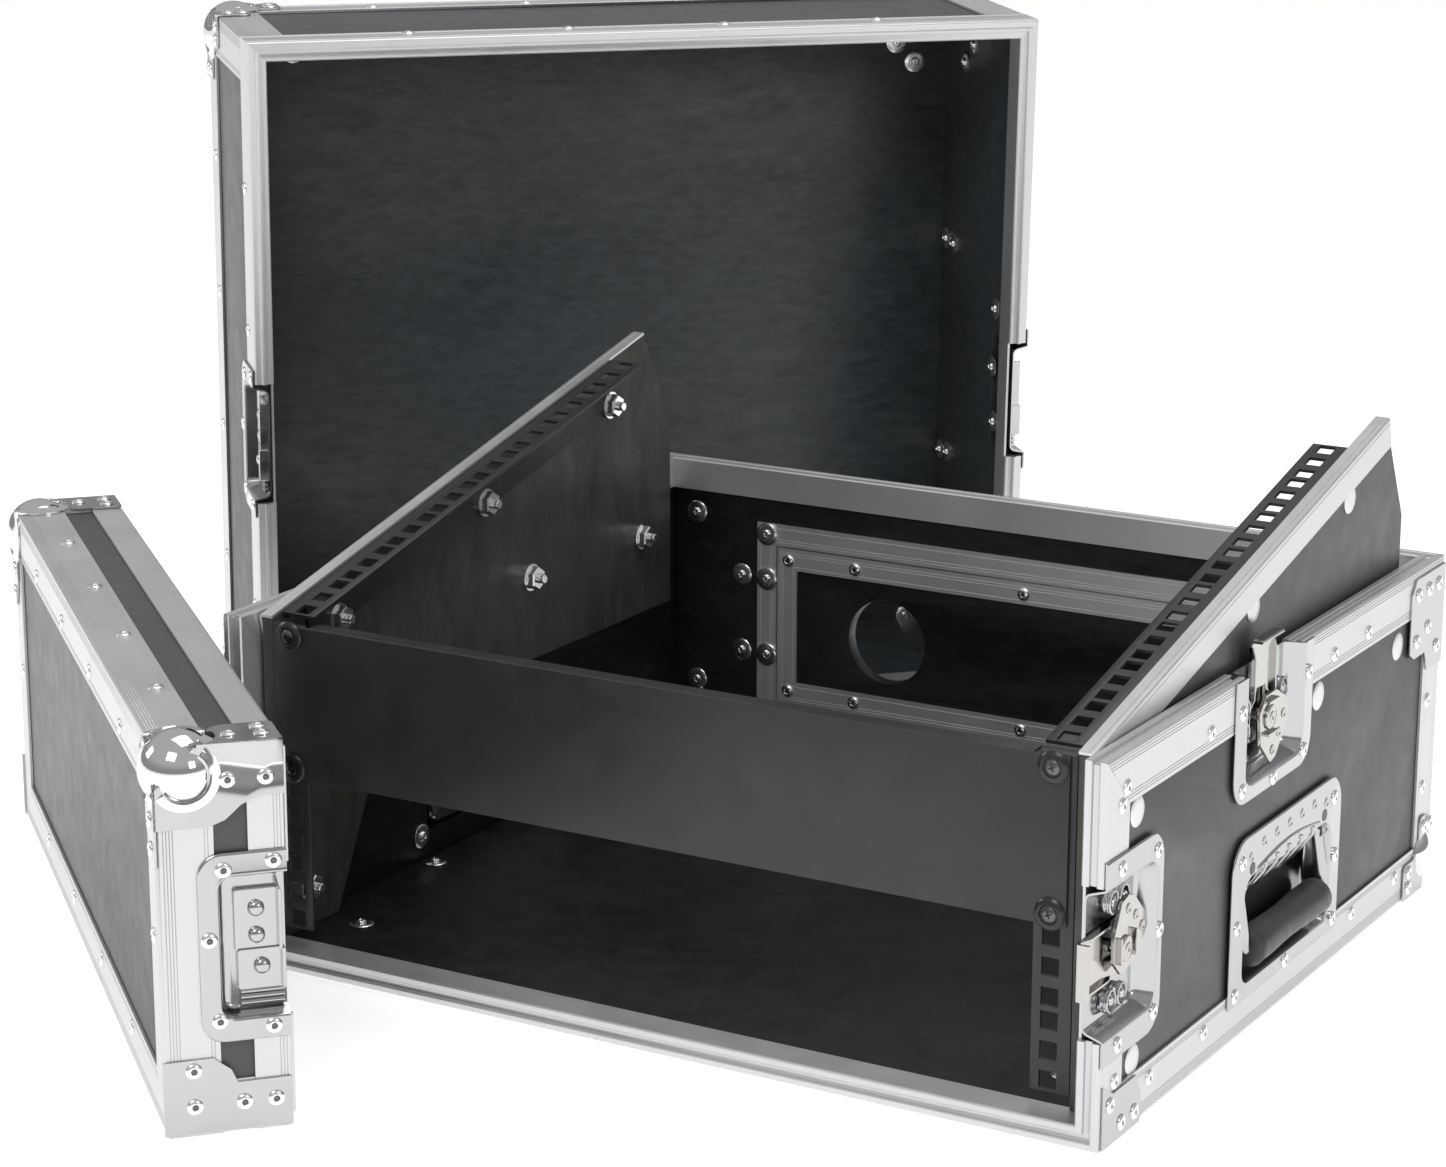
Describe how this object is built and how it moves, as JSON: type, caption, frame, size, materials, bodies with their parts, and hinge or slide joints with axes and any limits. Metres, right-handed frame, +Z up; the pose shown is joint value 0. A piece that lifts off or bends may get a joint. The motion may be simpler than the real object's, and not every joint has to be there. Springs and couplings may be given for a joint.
{
  "type": "equipment rack case",
  "caption": "Slant-top 19-inch equipment rack case, open: wooden base with square-hole rack rails, lift-off lid and front cover, butterfly latches, sprung handles.",
  "frame": {"origin": "centre of the overall footprint of base, lid and front cover, on the floor", "axes": "+Z up, -Y out of the base's front opening, +X to the right seen from the front"},
  "size_m": [0.8886, 1.0466, 0.4866],
  "materials": {
    "laminate": "satin charcoal laminate outside, black stained plywood inside",
    "stained_board": "black stained plywood, matt",
    "aluminium": "fine grooved satin anodised extrusion",
    "chrome": "bright zinc and chrome plated pressed steel",
    "nickel": "bright nickel plate",
    "black_steel": "black powder coat, fine texture",
    "rubber": "matt black rubber"
  },
  "bodies": {
    "base": {"floor_board": "stained_board", "rear_board": "laminate", "top_rim": "aluminium", "front_frame": "aluminium", "base_edging": "aluminium", "blank_panel": "black_steel", "door_surround": "aluminium", "door_hinge_frame_leaf": "black_steel", "right_side_board": "laminate", "right_inner_board": "stained_board", "right_slant_edging": "aluminium", "right_slant_rail": "black_steel", "right_front_rail": "black_steel", "right_rear_ball_corner": "chrome", "right_top_latch_dish": "chrome", "right_front_latch_dish": "chrome", "right_handle_dish": "chrome", "left_side_board": "laminate", "left_inner_board": "stained_board", "left_slant_edging": "aluminium", "left_slant_rail": "black_steel", "left_front_rail": "black_steel", "left_rear_ball_corner": "chrome", "left_top_latch_dish": "chrome", "left_front_latch_dish": "chrome", "left_handle_dish": "chrome"},
    "lid": {"lid_face_board": "laminate", "lid_wall_boards": "laminate", "lid_rim": "aluminium", "lid_edging": "aluminium", "lid_right_keeper": "chrome", "lid_left_keeper": "chrome", "lid_upper_right_ball_corner": "chrome", "lid_upper_left_ball_corner": "chrome", "lid_lower_right_ball_corner": "chrome", "lid_lower_left_ball_corner": "chrome"},
    "front_cover": {"cover_face_board": "laminate", "cover_wall_boards": "laminate", "cover_rim": "aluminium", "cover_edging": "aluminium", "cover_right_keeper": "chrome", "cover_left_keeper": "chrome", "cover_upper_right_ball_corner": "chrome", "cover_upper_left_ball_corner": "chrome"},
    "door": {"door_board": "laminate", "door_edging": "aluminium", "door_hinge_door_leaf": "black_steel"},
    "door_catch": {"door_catch": "nickel"},
    "right_handle": {"right_handle_bail": "chrome", "right_handle_grip": "rubber"},
    "right_top_latch_wing": {"right_top_latch_wing": "nickel"},
    "right_top_latch_hook": {"right_top_latch_hook": "nickel"},
    "right_front_latch_wing": {"right_front_latch_wing": "nickel"},
    "right_front_latch_hook": {"right_front_latch_hook": "nickel"},
    "left_handle": {"left_handle_bail": "chrome", "left_handle_grip": "rubber"},
    "left_top_latch_wing": {"left_top_latch_wing": "nickel"},
    "left_top_latch_hook": {"left_top_latch_hook": "nickel"},
    "left_front_latch_wing": {"left_front_latch_wing": "nickel"},
    "left_front_latch_hook": {"left_front_latch_hook": "nickel"}
  },
  "joints": [
    {"name": "lid_lift", "type": "slide", "parent": "base", "child": "lid", "axis": [0, 0, 1], "range_m": [0, 0.3]},
    {"name": "front_cover_lift", "type": "slide", "parent": "base", "child": "front_cover", "axis": [0, 0, 1], "range_m": [0, 0.3]},
    {"name": "door_hinge", "type": "hinge", "parent": "base", "child": "door", "pos_m": [-0.00996, 0.17645, 0.103], "axis": [0, 0, 1], "range_deg": [0, 70]},
    {"name": "door_catch_turn", "type": "hinge", "parent": "door", "child": "door_catch", "pos_m": [0.32734, 0.17305, 0.1], "axis": [0, 1, 0], "range_deg": [0, 90]},
    {"name": "right_handle_swing", "type": "hinge", "parent": "base", "child": "right_handle", "pos_m": [0.42984, -0.06195, 0.083], "axis": [0, -1, 0], "range_deg": [0, 90], "stiffness_Nm_per_rad": 0.1, "springref_deg": -11.46},
    {"name": "right_top_latch_turn", "type": "hinge", "parent": "base", "child": "right_top_latch_wing", "pos_m": [0.43084, -0.08995, 0.171], "axis": [1, 0, 0], "range_deg": [0, 180]},
    {"name": "right_top_latch_draw", "type": "slide", "parent": "base", "child": "right_top_latch_hook", "axis": [0, 0, -1], "range_m": [0, 0.0062]},
    {"name": "right_front_latch_turn", "type": "hinge", "parent": "base", "child": "right_front_latch_wing", "pos_m": [0.43084, -0.26995, 0.098], "axis": [1, 0, 0], "range_deg": [0, 180]},
    {"name": "right_front_latch_draw", "type": "slide", "parent": "base", "child": "right_front_latch_hook", "axis": [0, 1, 0], "range_m": [0, 0.0062]},
    {"name": "left_handle_swing", "type": "hinge", "parent": "base", "child": "left_handle", "pos_m": [-0.09516, -0.06195, 0.083], "axis": [0, 1, 0], "range_deg": [0, 90], "stiffness_Nm_per_rad": 0.1, "springref_deg": -11.46},
    {"name": "left_top_latch_turn", "type": "hinge", "parent": "base", "child": "left_top_latch_wing", "pos_m": [-0.09616, -0.08995, 0.171], "axis": [-1, 0, 0], "range_deg": [0, 180]},
    {"name": "left_top_latch_draw", "type": "slide", "parent": "base", "child": "left_top_latch_hook", "axis": [0, 0, -1], "range_m": [0, 0.0062]},
    {"name": "left_front_latch_turn", "type": "hinge", "parent": "base", "child": "left_front_latch_wing", "pos_m": [-0.09616, -0.26995, 0.098], "axis": [-1, 0, 0], "range_deg": [0, 180]},
    {"name": "left_front_latch_draw", "type": "slide", "parent": "base", "child": "left_front_latch_hook", "axis": [0, 1, 0], "range_m": [0, 0.0062]}
  ],
  "couplings": [
    {"joint": "right_top_latch_draw", "follows": "right_top_latch_turn", "m_per_rad": 0.00191},
    {"joint": "right_front_latch_draw", "follows": "right_front_latch_turn", "m_per_rad": 0.00191},
    {"joint": "left_top_latch_draw", "follows": "left_top_latch_turn", "m_per_rad": 0.00191},
    {"joint": "left_front_latch_draw", "follows": "left_front_latch_turn", "m_per_rad": 0.00191}
  ]
}
